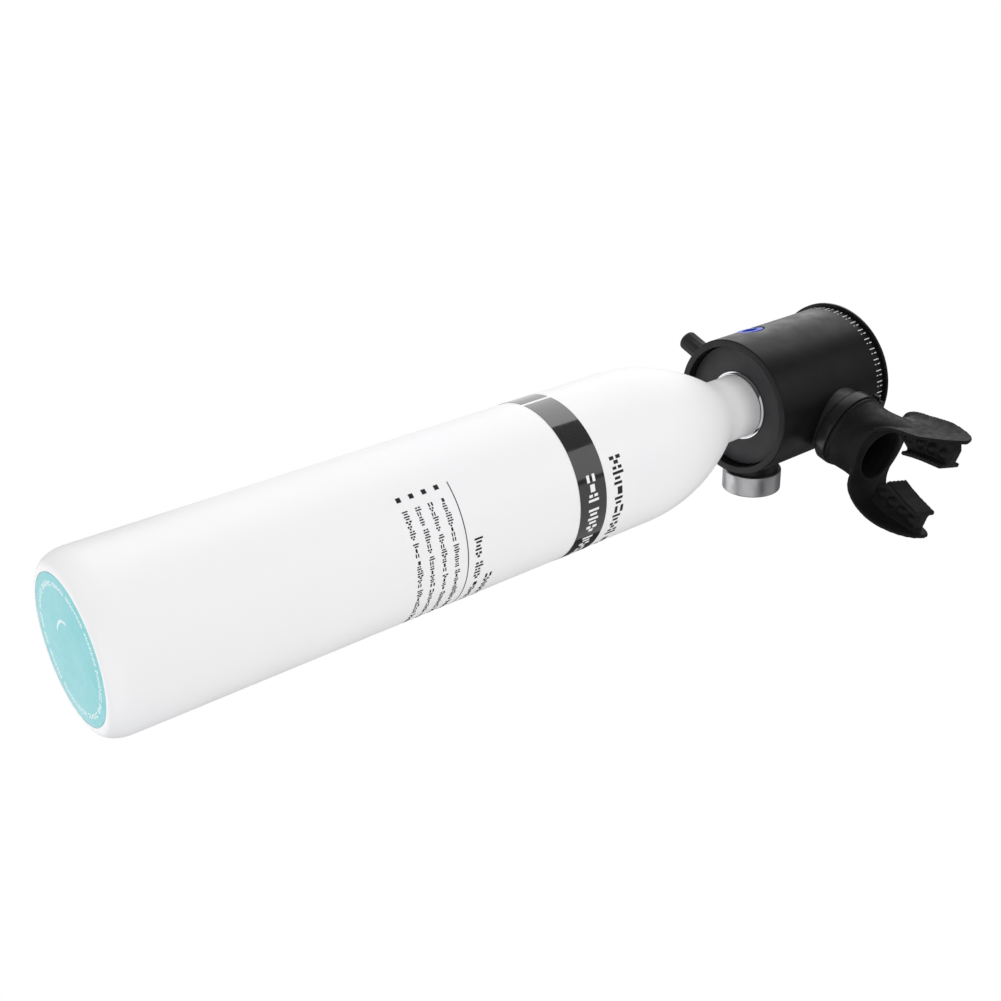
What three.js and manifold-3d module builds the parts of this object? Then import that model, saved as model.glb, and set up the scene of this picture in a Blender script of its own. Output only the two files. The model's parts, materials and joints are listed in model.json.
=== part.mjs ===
// Mini scuba tank: a half-litre aluminium cylinder with a two-stage regulator head.
// Millimetres, +Z up the cylinder axis, origin at the centre of the flat base.
// The mouthpiece faces -Y. Every solid is built once, cut or joined, and named.

import * as THREE from 'three';
import { mergeVertices } from 'three/addons/utils/BufferGeometryUtils.js';
import Module from 'manifold-3d';

const wasm = await Module();
wasm.setup();

// ---------------------------------------------------------------- driving sizes
const GAP = 0.3;                      // clearance between separate pieces

const BOTTLE_R = 30;                  // outside radius of the cylinder
const BOTTLE_WALL = 4.2;
const BASE_THICKNESS = 7;
const BASE_FLAT_R = 25.2;             // where the base corner starts
const BASE_CORNER_H = 8.5;
const SHOULDER_START = 218;           // top of the straight side
const SHOULDER_SPAN = 51;             // height over which the shoulder would reach the neck
const SHOULDER_FILLET_START = 265;
const NECK_R = 12.9;
const NECK_TOP = 288;
const NECK_BORE_R = 8.6;
const LABEL_R = 24.3;
const LABEL_T = 0.3;
const BAND_LOW = 173.4;               // glossy wrap band
const BAND_HIGH = 185.6;
const BAND_SEAM_AZ = 162.5;
const BAND_SEAM_W = 1.4;

const BARREL_LOW = 281.2;             // regulator housing
const BARREL_HIGH = 342.8;
const BARREL_R = 28.4;
const BARREL_BORE_R = 25.3;
const RECESS_FLOOR = 285;
const CAP_TOP = 344.1;
const CAP_R = 29.9;

const GAUGE = { azimuth: -15.5, height: 296 };
const FILL = { azimuth: 95, height: 296.4 };
const BURST = { azimuth: 148.5, height: 299 };
const EXHAUST = { azimuth: 45, height: 318 };
const MOUTH = { azimuth: -90, height: 316 };
const MOUTH_TURN = -8;                // the mouthpiece sits slightly turned in its tie

const FIRST_STAGE_R = 20;
const FIRST_STAGE_TOP = 304;
const VALVE_AXIS_Z = 315;             // second-stage valve tube, along X
const LEVER_PIVOT = { x: -12, z: 322 };

const FINE = 48;                      // segments on the large round parts
const MEDIUM = 28;
const SMALL = 14;

// ---------------------------------------------------------------- materials
const paint = (color, roughness, metalness = 0) => ({ color, roughness, metalness });
const WHITE_PAINT = paint(0xf2f2f0, 0.32);
const TEAL_VINYL = paint(0x8fd6dc, 0.35);
const BLACK_GLOSS = paint(0x0b0b0c, 0.12);
const BLACK_ANODISED = paint(0x141415, 0.38, 0.6);
const BLACK_RUBBER = paint(0x151515, 0.75);
const SILICONE = paint(0x161617, 0.6);
const CHROME = paint(0xd6d8da, 0.12, 1);
const SATIN_ALUMINIUM = paint(0xbfc1c3, 0.3, 1);
const BRASS = paint(0xb08d45, 0.3, 1);
const STEEL = paint(0xa9acb0, 0.28, 1);
const BLUE_ANODISED = paint(0x2f56c8, 0.25, 0.8);
const DIAL_WHITE = paint(0xf4f4f2, 0.6);
const NEEDLE_RED = paint(0xc02020, 0.5);
const CLEAR = paint(0xe6eef0, 0.05);
const SEAT_PLASTIC = paint(0xe8e4d8, 0.5);

const group = new THREE.Group();
group.name = 'mini_scuba_tank';

function add(name, geometry, look) {
  const mesh = new THREE.Mesh(geometry, new THREE.MeshStandardMaterial(look));
  mesh.name = name;
  group.add(mesh);
}

// ---------------------------------------------------------------- solid helpers
// Welds a geometry and drops triangles that collapse on an axis.
function weld(geometry) {
  const bare = geometry.clone();
  bare.deleteAttribute('normal');
  bare.deleteAttribute('uv');
  const welded = mergeVertices(bare, 1e-4);
  const kept = [];
  const index = welded.index.array;
  for (let i = 0; i < index.length; i += 3) {
    const [a, b, c] = [index[i], index[i + 1], index[i + 2]];
    if (a !== b && b !== c && c !== a) kept.push(a, b, c);
  }
  welded.setIndex(kept);
  return welded;
}

// Turns a welded geometry inside out when its triangles face inward.
function faceOut(geometry) {
  const p = geometry.attributes.position;
  const index = Array.from(geometry.index.array);
  const [a, b, c] = [new THREE.Vector3(), new THREE.Vector3(), new THREE.Vector3()];
  let volume = 0;
  for (let i = 0; i < index.length; i += 3) {
    a.fromBufferAttribute(p, index[i]);
    b.fromBufferAttribute(p, index[i + 1]);
    c.fromBufferAttribute(p, index[i + 2]);
    volume += a.dot(b.cross(c));
  }
  if (volume < 0) {
    for (let i = 0; i < index.length; i += 3) {
      [index[i], index[i + 1]] = [index[i + 1], index[i]];
    }
    geometry.setIndex(index);
  }
  return geometry;
}

const closed = (geometry) => faceOut(weld(geometry));

function toManifold(geometry) {
  const solid = closed(geometry);
  const mesh = new wasm.Mesh({
    numProp: 3,
    vertProperties: new Float32Array(solid.attributes.position.array),
    triVerts: new Uint32Array(solid.index.array),
  });
  mesh.merge();
  return new wasm.Manifold(mesh);
}

function fromManifold(manifold) {
  const mesh = manifold.getMesh();
  const geometry = new THREE.BufferGeometry();
  geometry.setAttribute('position', new THREE.BufferAttribute(mesh.vertProperties, 3));
  geometry.setIndex(Array.from(mesh.triVerts));
  return geometry;
}

function join(...geometries) {
  return fromManifold(geometries.map(toManifold).reduce((a, b) => a.add(b)));
}

function cut(base, ...tools) {
  return fromManifold(tools.map(toManifold).reduce((a, b) => a.subtract(b), toManifold(base)));
}

function meet(a, b) {
  return fromManifold(toManifold(a).intersect(toManifold(b)));
}

// A solid of revolution about Z from [radius, height] points. A profile that doesn't
// start and end on the axis is closed on itself.
function turned(profile, segments = MEDIUM) {
  const points = profile.map(([r, z]) => new THREE.Vector2(r, z));
  const last = profile[profile.length - 1];
  if (profile[0][0] > 0 || last[0] > 0) points.push(points[0].clone());
  return closed(new THREE.LatheGeometry(points, segments).rotateX(Math.PI / 2));
}

const rod = (r, z0, z1, segments) => turned([[0, z0], [r, z0], [r, z1], [0, z1]], segments);

const ring = (inner, outer, z0, z1, segments) =>
  turned([[inner, z0], [outer, z0], [outer, z1], [inner, z1]], segments);

function torus(major, minor, z, segments = SMALL) {
  return closed(new THREE.TorusGeometry(major, minor, 6, segments).translate(0, 0, z));
}

function block(x0, x1, y0, y1, z0, z1) {
  const box = new THREE.BoxGeometry(x1 - x0, y1 - y0, z1 - z0);
  return closed(box.translate((x0 + x1) / 2, (y0 + y1) / 2, (z0 + z1) / 2));
}

// Extrudes a closed outline of [x, y] points along Z.
function plate(outline, z0, z1) {
  const shape = new THREE.Shape(outline.map(([x, y]) => new THREE.Vector2(x, y)));
  const solid = new THREE.ExtrudeGeometry(shape, { depth: z1 - z0, bevelEnabled: false });
  return closed(solid.translate(0, 0, z0));
}

// A prism with `sides` flats, `across` millimetres from flat to flat.
function prism(sides, across, z0, z1) {
  const r = across / 2 / Math.cos(Math.PI / sides);
  const corner = (i) => (2 * Math.PI * (i + 0.5)) / sides;
  const outline = Array.from({ length: sides }, (_, i) =>
    [r * Math.cos(corner(i)), r * Math.sin(corner(i))]);
  return plate(outline, z0, z1);
}

class Helix extends THREE.Curve {
  constructor(radius, z0, z1, turns) {
    super();
    Object.assign(this, { radius, z0, z1, turns });
  }

  getPoint(t, target = new THREE.Vector3()) {
    const a = 2 * Math.PI * this.turns * t;
    const z = this.z0 + (this.z1 - this.z0) * t;
    return target.set(this.radius * Math.cos(a), this.radius * Math.sin(a), z);
  }
}

// A coil spring standing on Z between two faces.
function spring(radius, wire, z0, z1, turns) {
  const section = new THREE.Shape().absarc(0, 0, wire, 0, 2 * Math.PI);
  const path = new Helix(radius, z0 + wire, z1 - wire, turns);
  const options = { steps: turns * 8, curveSegments: 2, extrudePath: path, bevelEnabled: false };
  return closed(new THREE.ExtrudeGeometry(section, options));
}

// Oval rings of half-width a and half-height b, joined in order into one closed skin.
function ovalLoft(stations, segments = 24) {
  const vertices = stations.flatMap(({ z, a, b }) =>
    Array.from({ length: segments }, (_, i) => {
      const t = (2 * Math.PI * i) / segments;
      return [a * Math.cos(t), b * Math.sin(t), z];
    }));
  const index = [];
  const at = (s, i) => (s % stations.length) * segments + (i % segments);
  for (let s = 0; s < stations.length; s += 1) {
    for (let i = 0; i < segments; i += 1) {
      index.push(at(s, i), at(s, i + 1), at(s + 1, i + 1));
      index.push(at(s, i), at(s + 1, i + 1), at(s + 1, i));
    }
  }
  const geometry = new THREE.BufferGeometry();
  const flat = new Float32Array(vertices.flat());
  geometry.setAttribute('position', new THREE.BufferAttribute(flat, 3));
  geometry.setIndex(index);
  return faceOut(geometry);
}

// Places a fitting that was turned about Z so that its Z points out of the barrel:
// its height becomes the distance from the cylinder axis.
function radial(geometry, { azimuth, height }) {
  return geometry.clone()
    .rotateY(Math.PI / 2)
    .rotateZ(THREE.MathUtils.degToRad(azimuth))
    .translate(0, 0, height);
}

// Same, for pieces with an upright local Y.
function towardMouth(geometry) {
  return geometry.clone()
    .rotateZ(THREE.MathUtils.degToRad(MOUTH_TURN))
    .rotateX(Math.PI / 2)
    .translate(0, 0, MOUTH.height);
}

// ---------------------------------------------------------------- cylinder
const shoulderRadius = (z) =>
  NECK_R + (BOTTLE_R - NECK_R) * (1 - ((z - SHOULDER_START) / SHOULDER_SPAN) ** 2);

// The concave arc that carries the shoulder into the neck.
function neckFillet() {
  const z0 = SHOULDER_FILLET_START;
  const r0 = shoulderRadius(z0);
  const slope = (2 * (BOTTLE_R - NECK_R) * (z0 - SHOULDER_START)) / SHOULDER_SPAN ** 2;
  const turn = Math.atan(slope);
  const radius = (r0 - NECK_R) / (1 - Math.cos(turn));
  const zEnd = z0 + radius * Math.sin(turn);
  return Array.from({ length: 4 }, (_, i) => {
    const a = turn * (1 - i / 3);
    return [NECK_R + radius * (1 - Math.cos(a)), zEnd - radius * Math.sin(a)];
  });
}

function bottleOutside() {
  const corner = Array.from({ length: 6 }, (_, i) => {
    const a = (Math.PI / 2) * (i / 5);
    return [
      BASE_FLAT_R + (BOTTLE_R - BASE_FLAT_R) * Math.sin(a),
      BASE_CORNER_H * (1 - Math.cos(a)),
    ];
  });
  const steps = 8;
  const shoulder = Array.from({ length: steps }, (_, i) => {
    const z = SHOULDER_START + (SHOULDER_FILLET_START - SHOULDER_START) * (i / steps);
    return [shoulderRadius(z), z];
  });
  return [...corner, ...shoulder, ...neckFillet()];
}

function bottleInside() {
  const innerR = BOTTLE_R - BOTTLE_WALL;
  const top = SHOULDER_START - 2;
  const dome = Array.from({ length: 4 }, (_, i) => {
    const a = (Math.PI / 2) * (i / 4);
    return [
      NECK_BORE_R + (innerR - NECK_BORE_R) * Math.sin(a),
      top + (SHOULDER_SPAN - 7) * Math.cos(a),
    ];
  });
  return [...dome, [innerR, top], [innerR, BASE_THICKNESS + 6], [innerR - 5, BASE_THICKNESS],
    [0, BASE_THICKNESS]];
}

function addCylinder() {
  const seatR = 11;
  const profile = [
    [0, LABEL_T], [LABEL_R + GAP, LABEL_T], [LABEL_R + GAP, 0],
    ...bottleOutside(),
    [NECK_R, NECK_TOP], [seatR, NECK_TOP], [seatR, NECK_TOP - 2.4],
    [NECK_BORE_R, NECK_TOP - 2.4],
    ...bottleInside(),
  ];
  add('cylinder_bottle', turned(profile, FINE), WHITE_PAINT);
  add('base_label', rod(LABEL_R, 0, LABEL_T, FINE), TEAL_VINYL);

  const seam = radial(
    block(-20, 20, -BAND_SEAM_W / 2, BAND_SEAM_W / 2, 20, 40),
    { azimuth: BAND_SEAM_AZ, height: (BAND_LOW + BAND_HIGH) / 2 },
  );
  const band = ring(BOTTLE_R + 0.05, BOTTLE_R + 0.25, BAND_LOW, BAND_HIGH, FINE);
  add('wrap_band', cut(band, seam), BLACK_GLOSS);
  add('neck_o_ring', torus(9.7, 1.1, NECK_TOP - 1.2), BLACK_RUBBER);
}

// ---------------------------------------------------------------- housing
function addHousing() {
  const chamfer = 0.6;
  const ledge = { r: 23.2, low: 330, high: 331.3 };
  const shell = turned([
    [BARREL_BORE_R + 0.4, BARREL_LOW], [BARREL_R - chamfer, BARREL_LOW],
    [BARREL_R, BARREL_LOW + chamfer], [BARREL_R, BARREL_HIGH],
    [BARREL_BORE_R, BARREL_HIGH], [BARREL_BORE_R, ledge.high],
    [ledge.r, ledge.high], [ledge.r, ledge.low],
    [BARREL_BORE_R, ledge.low - 1.5], [BARREL_BORE_R, BARREL_LOW + 0.4],
  ], FINE);
  const hole = (r, place, segments) => radial(rod(r, 15, 34, segments), place);
  add('barrel_housing', cut(
    shell,
    hole(5.3, GAUGE, SMALL),
    hole(4.7, FILL, SMALL),
    hole(6.0, BURST, MEDIUM),
    hole(8.3, EXHAUST, MEDIUM),
    hole(14.1, MOUTH, MEDIUM),
    setScrewHole(),
  ), BLACK_ANODISED);

  add('lower_end_cap', ring(14.3, BARREL_BORE_R - GAP, RECESS_FLOOR, 287.7, FINE), BLACK_ANODISED);
  add('neck_ring', turned([
    [13.25, 283.6], [13.7, 283.6], [14.0, 283.9], [14.0, NECK_TOP - GAP], [13.25, NECK_TOP - GAP],
  ], MEDIUM), CHROME);
  addSetScrew();
}

const SET_SCREW = { azimuth: -62, r: 26.9 };

function setScrewHole() {
  return rod(1.0, BARREL_LOW - 1, BARREL_LOW + 4, 12)
    .translate(SET_SCREW.r, 0, 0)
    .rotateZ(THREE.MathUtils.degToRad(SET_SCREW.azimuth));
}

function addSetScrew() {
  const low = BARREL_LOW + 0.4;
  const screw = cut(rod(0.75, low, low + 3, 12), prism(6, 0.7, low - 1, low + 0.8));
  add('set_screw', screw
    .translate(SET_SCREW.r, 0, 0)
    .rotateZ(THREE.MathUtils.degToRad(SET_SCREW.azimuth)), STEEL);
}

function aroundAxis(count, make) {
  return Array.from({ length: count }, (_, i) => make().rotateZ((2 * Math.PI * i) / count));
}

function addTopCap() {
  const spigotR = BARREL_BORE_R - GAP;
  const coverHigh = 335;
  const ventR = 1.8;
  const cap = turned([
    [13.8, CAP_TOP], [CAP_R - 0.4, CAP_TOP], [CAP_R, CAP_TOP - 0.4], [CAP_R, BARREL_HIGH],
    [spigotR, BARREL_HIGH], [spigotR, coverHigh], [22, coverHigh], [22, 341], [13.8, 341],
  ], FINE);
  const vents = aroundAxis(8, () => rod(ventR, 340, 346, 10).translate(18.4, 0, 0));
  add('top_cap', cut(cap, ...vents), BLACK_ANODISED);

  const slots = aroundAxis(6, () => rod(2.2, 330, 336, 8).translate(17.5, 0, 0));
  add('diaphragm_cover', cut(ring(9.5, spigotR - 0.1, 333.5, coverHigh, MEDIUM), ...slots),
    BLACK_ANODISED);

  add('purge_button', turned([
    [0, 333.5], [3.6, 333.5], [3.6, 338.8], [15.5, 338.8], [15.5, 340.7], [13.4, 340.7],
    [13.4, 344.6], [12.8, 345.3], [6, 345.7], [0, 345.8],
  ], MEDIUM), BLACK_RUBBER);
  add('purge_spring', spring(11.6, 0.5, coverHigh, 338.8, 2), STEEL);
}

// ---------------------------------------------------------------- second stage
function addDiaphragm() {
  const t = 0.45;
  const wave = Array.from({ length: 5 }, (_, i) => {
    const u = i / 4;
    return [22.6 - 9.2 * u, 332.4 - 1.3 * (1 - Math.cos(2 * Math.PI * u))];
  });
  const upper = wave.map(([r, z]) => [r, z + t]);
  const lower = wave.map(([r, z]) => [r, z - t]).reverse();
  add('diaphragm', turned([
    [24.9, 331.4], [24.9, 333.4], [22.7, 333.4], ...upper, ...lower, [22.7, 331.4],
  ], SMALL), SILICONE);
  add('diaphragm_plate', turned([
    [0, 331.7], [12.2, 331.7], [12.9, 332.4], [12.2, 333.2], [0, 333.2],
  ], SMALL), STEEL);
}

// Turns a lathed piece so that its Z runs along X on the valve axis.
const onValveAxis = (geometry) => geometry.clone().rotateY(Math.PI / 2).translate(0, 0, VALVE_AXIS_Z);

function addValve() {
  const outer = 5.2;
  const bore = 3.6;
  const tube = onValveAxis(turned([
    [bore, -19], [outer, -19], [outer, 18], [0, 18], [0, 15], [bore, 15],
  ], SMALL));
  const lugs = [-1, 1].map((side) => {
    const y = side * 3.6;
    return block(-14.5, -9.5, Math.min(y, y + side), Math.max(y, y + side), 317, 324.3);
  });
  const slot = block(-15.2, -8.6, -3.1, 3.1, 313.2, 326);
  const inlet = rod(1.2, 308, 315, 12).translate(12.4, 0, 0);
  const pinHole = rod(1.05, -8, 8, 12).rotateX(Math.PI / 2)
    .translate(LEVER_PIVOT.x, 0, LEVER_PIVOT.z);
  const outlets = [-1, 1].map((side) =>
    block(0, 5, side > 0 ? 2 : -7, side > 0 ? 7 : -2, 312.6, 317.4));
  add('second_stage_valve_body', cut(join(tube, ...lugs), slot, inlet, pinHole, ...outlets), BRASS);

  add('valve_orifice', onValveAxis(turned([
    [1.2, 8.6], [2.0, 8.6], [2.0, 10], [3.4, 10], [3.4, 11], [1.2, 11],
  ], SMALL)), CHROME);
  add('second_stage_poppet', onValveAxis(turned([
    [0, -16.5], [1.2, -16.5], [1.2, -14.4], [2.9, -14.4], [2.9, -13.2], [1.1, -13.2],
    [1.1, 5.4], [2.9, 5.4], [2.9, 8.2], [0, 8.2],
  ], SMALL)), SEAT_PLASTIC);
  add('poppet_spring', spring(2.2, 0.35, -18.9, -16.4, 3).rotateY(Math.PI / 2)
    .translate(0, 0, VALVE_AXIS_Z), STEEL);
  add('valve_end_plug', onValveAxis(turned([
    [0, -20.6], [4.6, -20.6], [4.6, -19], [0, -19],
  ], SMALL)), BRASS);
  add('transfer_tube', ring(1.2, 2.5, FIRST_STAGE_TOP, 309.6, SMALL).translate(12.4, 0, 0), BRASS);
}

function addLever() {
  const { x, z } = LEVER_PIVOT;
  const outline = [
    [x - 1.0, z - 3.2], [x - 1.0, z - 7.9], [x + 0.5, z - 7.9], [x + 1.9, z - 1.4], [x + 11.5, z + 7.0],
    [x + 15.2, z + 7.8], [x + 15.2, z + 8.9], [x + 13.4, z + 9.3], [x + 10.6, z + 8.5],
    [x - 0.6, z + 2.0], [x - 2.0, z + 0.4],
  ];
  const arm = plate(outline, -2.6, 2.6).rotateX(Math.PI / 2);
  const hole = rod(1.3, -8, 8, 12).rotateX(Math.PI / 2).translate(x, 0, z);
  const fork = block(x - 4, x + 4, -1.5, 1.5, z - 9, z - 4.5);
  add('demand_lever', cut(arm, hole, fork), STEEL);
  add('lever_pin', rod(0.9, -5, 5, 12).rotateX(Math.PI / 2).translate(x, 0, z), STEEL);
}

// ---------------------------------------------------------------- first stage
function addFirstStage() {
  const floor = 292;
  const blank = turned([
    [0, 262], [7.6, 262], [8.2, 262.6], [8.2, NECK_TOP], [FIRST_STAGE_R, NECK_TOP],
    [FIRST_STAGE_R, FIRST_STAGE_TOP], [0, FIRST_STAGE_TOP],
  ], SMALL * 2);
  const pocket = (r, bottom, place) => radial(turned([
    [0, 5], [0.8, 5], [0.8, bottom], [r, bottom], [r, 24], [0, 24],
  ], SMALL), place);
  add('first_stage_body', cut(
    blank,
    rod(6.3, floor, 306, SMALL),
    rod(1.2, 260, floor + 1, 12),
    rod(1.2, 300, 306, 12).translate(12.4, 0, 0),
    pocket(4.7, 11.7, FILL),
    pocket(5.3, 13.5, GAUGE),
    pocket(4.3, 11.7, BURST),
  ), BRASS);
  add('first_stage_cap', ring(1.5, 9, FIRST_STAGE_TOP, 306, SMALL), BRASS);
  add('high_pressure_seat', ring(1.3, 2.4, floor, floor + 0.7, SMALL), SEAT_PLASTIC);
  add('first_stage_piston', turned([
    [0, 293.9], [2.3, 293.9], [2.3, 299.4], [6.0, 299.4], [6.0, 300.2], [4.8, 300.2],
    [4.8, 301.8], [6.0, 301.8], [6.0, 302.6], [0, 302.6],
  ], SMALL), STEEL);
  add('piston_o_ring', torus(5.5, 0.55, 301, SMALL), BLACK_RUBBER);
  add('piston_spring', spring(4.3, 0.45, floor, 299.4, 4), STEEL);
}

// ---------------------------------------------------------------- side fittings
function addFillValve() {
  add('fill_valve_body', radial(turned([
    [1.4, 12.2], [4.4, 12.2], [4.4, 28.9], [3.6, 28.9], [3.6, 30.2], [2.8, 30.6], [2.8, 40.8],
    [2.4, 41.2], [1.2, 41.2], [1.2, 27.5], [2.5, 26.5], [2.5, 14], [1.4, 14],
  ], SMALL), FILL), STEEL);
  add('fill_check_poppet', radial(turned([
    [0, 19.5], [0.8, 19.5], [0.8, 22], [2.1, 22], [2.1, 25.8], [0.9, 26.9], [0, 26.9],
  ], SMALL), FILL), BRASS);
  add('fill_check_spring', radial(spring(1.6, 0.3, 14, 20.8, 4), FILL), STEEL);

  const capR = 4.14;
  const cap = turned([
    [3.15, 31], [capR, 31], [capR, 42.9], [capR - 1.1, 44], [0, 44.1], [0, 42], [3.15, 42],
  ], MEDIUM);
  const grooves = aroundAxis(12, () => rod(0.28, 32.5, 41.5, 5).translate(capR + 0.1, 0, 0));
  add('fill_dust_cap', radial(cut(cap, ...grooves), FILL), BLACK_RUBBER);
}

function addGauge() {
  const r = 12.2;
  add('gauge_boss', radial(ring(5.3, 11, 28.9, 30.7, MEDIUM), GAUGE), BLACK_ANODISED);
  add('gauge_case', radial(turned([
    [0.8, 14], [5, 14], [5, 31], [r - 0.6, 31], [r, 31.6], [r, 39.3], [r - 0.6, 39.9],
    [10.9, 39.9], [10.9, 34], [0.8, 34],
  ], MEDIUM), GAUGE), SATIN_ALUMINIUM);
  add('gauge_dial', radial(ring(0.8, 10.6, 34, 34.4, MEDIUM), GAUGE), DIAL_WHITE);
  add('gauge_lens', radial(rod(10.6, 38.2, 39.4, MEDIUM), GAUGE), CLEAR);

  const blade = plate([[-2.6, -0.5], [0, -0.9], [8.4, -0.15], [8.4, 0.15], [0, 0.9], [-2.6, 0.5]],
    35.6, 36);
  const needle = join(blade, rod(1.3, 35.2, 36.4, SMALL), rod(0.5, 34.2, 35.4, 12));
  const zeroMark = THREE.MathUtils.degToRad(135);
  add('gauge_needle', radial(needle.rotateZ(zeroMark), GAUGE), NEEDLE_RED);
}

function addBurstPlug() {
  const plug = turned([
    [0.8, 12.6], [4, 12.6], [4, 20.4], [5.6, 20.4], [5.6, 27.8], [5.2, 28.2], [0.8, 28.2],
  ], MEDIUM);
  add('burst_disc_plug', radial(cut(plug, prism(6, 6, 24.4, 30)), BURST), BLUE_ANODISED);
  add('burst_disc', radial(rod(3.8, 11.9, 12.3, SMALL), BURST), STEEL);
}

function addExhaust() {
  add('exhaust_seat', radial(join(
    ring(6.2, 8.0, 24, 29.6, MEDIUM),
    ...aroundAxis(3, () => block(1.2, 7, -0.5, 0.5, 28.2, 29.6)),
    ring(0.9, 1.9, 28.2, 29.6, SMALL),
  ), EXHAUST), BLACK_ANODISED);
  add('exhaust_valve', radial(turned([
    [0, 27.4], [0.6, 27.4], [0.6, 29.8], [7.2, 29.8], [7.6, 30.2], [4, 30.5], [0, 30.7],
  ], MEDIUM), EXHAUST), SILICONE);
  const cover = turned([
    [8.4, 29], [9.8, 29], [9.8, 33.1], [9.2, 33.7], [0, 33.7], [0, 32.7], [8.4, 32.7],
  ], MEDIUM);
  const louvres = [-4.5, -1.5, 1.5, 4.5].map((x) => block(x - 0.7, x + 0.7, -6, 6, 32, 35));
  add('exhaust_cover', radial(cut(cover, ...louvres), EXHAUST), BLACK_ANODISED);
}

// ---------------------------------------------------------------- mouthpiece
function addPort() {
  const tube = ring(11.3, 13.8, 23.6, 38, MEDIUM);
  const collar = ring(13, 15.4, 18, 29.6, MEDIUM);
  const barrelGap = rod(BARREL_R + GAP, MOUTH.height - 25, MOUTH.height + 25, FINE);
  const saddle = cut(radial(collar, MOUTH), barrelGap);
  add('mouthpiece_port', join(radial(tube, MOUTH), saddle), BLACK_ANODISED);
}

// The lip shield in plan: a squarish U whose wings run forward to the tips at tipZ.
const SHIELD = { tipZ: 84, width: 24.6, depth: 37.3, wall: 2.4, squareness: 0.8, halfHeight: 10.5 };

function shieldArc(inset) {
  const steps = 26;
  return Array.from({ length: steps + 1 }, (_, i) => {
    const t = -Math.PI / 2 + (Math.PI * i) / steps;
    const x = (SHIELD.width - inset) * Math.sign(t) * Math.abs(Math.sin(t)) ** SHIELD.squareness;
    const back = (SHIELD.depth - inset) * Math.abs(Math.cos(t)) ** SHIELD.squareness;
    return [x, back - SHIELD.tipZ];
  });
}

// Turns a plan outline, drawn in X and minus Z, into a solid between two local heights.
const fromPlan = (outline, low, high) => plate(outline, low, high).rotateX(-Math.PI / 2);

function biteTab(side) {
  const mirror = (points) => points.map(([x, z]) => [side * x, -z]);
  const pad = fromPlan(mirror([
    [8.2, 63.5], [11.5, 58.5], [17.2, 57], [20.8, 64.5], [22.6, 72], [23.2, 80], [22.6, 83],
    [15, 83.2], [11.2, 80.4],
  ]), -2, 2);
  const wall = fromPlan(mirror([
    [7.4, 63], [9.4, 62.4], [13, 80], [11.4, 81], [10.4, 79],
  ]), -4.8, 4.8);
  return join(pad, wall);
}

function addMouthpiece() {
  const inner = 14.1;
  const tube = ovalLoft([
    { z: 29.9, a: 15.2, b: 15.2 }, { z: 38, a: 15.2, b: 15.2 }, { z: 42, a: 14.4, b: 13.6 },
    { z: 45.5, a: 13.6, b: 11.8 }, { z: 51, a: 14.6, b: 10.2 },
    { z: 51, a: 11.4, b: 8.4 }, { z: 44, a: 11.4, b: 9.6 }, { z: 38.5, a: 11.4, b: 11.4 },
    { z: 38.3, a: inner, b: inner }, { z: 29.9, a: inner, b: inner },
  ]);
  const { halfHeight } = SHIELD;
  const shield = fromPlan(
    [...shieldArc(0), ...shieldArc(SHIELD.wall).reverse()], -halfHeight, halfHeight);
  const roundFrom = -66;
  const sideView = new THREE.Shape()
    .moveTo(-40, -halfHeight).lineTo(roundFrom, -halfHeight)
    .absellipse(roundFrom, 0, 18.4, halfHeight, -Math.PI / 2, Math.PI / 2, true)
    .lineTo(-40, halfHeight);
  const envelope = new THREE.ExtrudeGeometry(sideView, { depth: 80, bevelEnabled: false })
    .translate(0, 0, -40).rotateY(Math.PI / 2);
  const bore = rod(1, 40, 60).scale(11.6, 8.4, 1);
  const body = join(tube, cut(meet(shield, envelope), bore), biteTab(-1), biteTab(1));
  add('mouthpiece', towardMouth(body), SILICONE);

  const strap = ring(15.4, 16.4, 30.6, 35.4, MEDIUM);
  const head = block(15.6, 19.4, -2.9, 2.9, 30.2, 35.8);
  const tail = block(16.2, 18.6, 2.4, 6.4, 31.2, 34.8);
  const tie = join(strap, head, tail).rotateZ(THREE.MathUtils.degToRad(118));
  add('mouthpiece_tie', towardMouth(tie), BLACK_GLOSS);
}

addCylinder();
addHousing();
addTopCap();
addDiaphragm();
addValve();
addLever();
addFirstStage();
addFillValve();
addGauge();
addBurstPlug();
addExhaust();
addPort();
addMouthpiece();

export default group;
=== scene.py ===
"""Looks for the mini scuba tank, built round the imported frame.

+Z runs up the cylinder and the mouthpiece points toward -Y, as in the CAD. The lengths of
pieces are written in millimetres and scaled once, when a mesh is made; the camera, the lights
and the floor are in metres, and angles are in degrees. Round pieces are lathed profiles of
(radius, height) points. Side fittings are lathed about Z and then laid along their port.
"""

import json
import math
import random

import bmesh
import bpy
from mathutils import Matrix, Vector


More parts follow.
